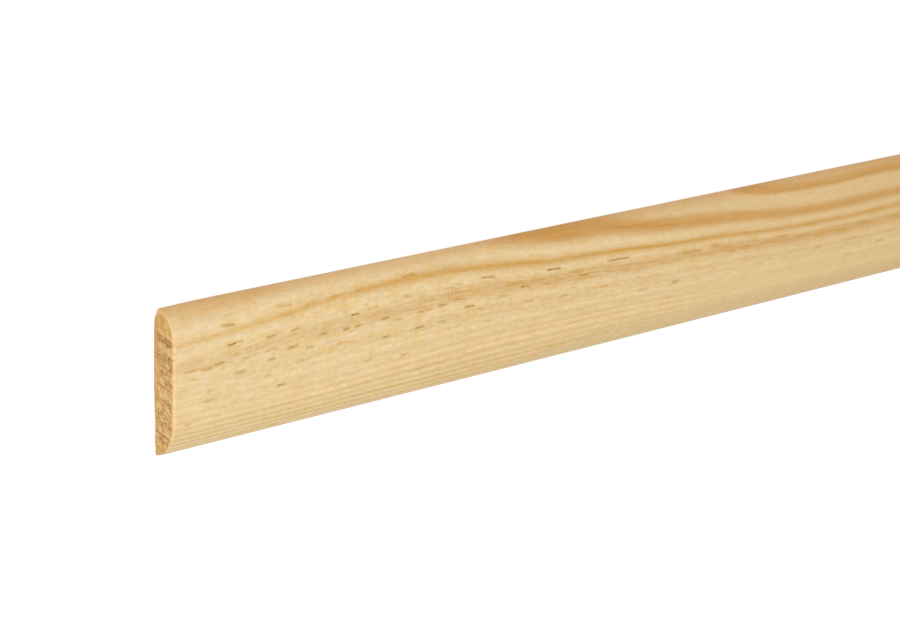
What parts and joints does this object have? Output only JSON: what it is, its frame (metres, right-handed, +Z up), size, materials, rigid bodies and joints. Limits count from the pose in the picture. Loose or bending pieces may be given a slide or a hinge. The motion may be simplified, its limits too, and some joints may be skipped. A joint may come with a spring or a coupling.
{
  "type": "wooden trim strip",
  "caption": "Flat pine cover strip with a flat back, a flat face and two rounded long edges, sawn square at both ends; it is glued or pinned over joints and gaps.",
  "frame": {"origin": "middle of the flat back, which lies on the floor", "axes": "+X along the strip, +Y across its width, +Z up, out of the moulded face"},
  "size_m": [1, 0.03, 0.006],
  "materials": {
    "pine": "planed, unfinished pine; sawn end grain"
  },
  "bodies": {
    "root": {"trim_strip": "pine"}
  },
  "joints": []
}
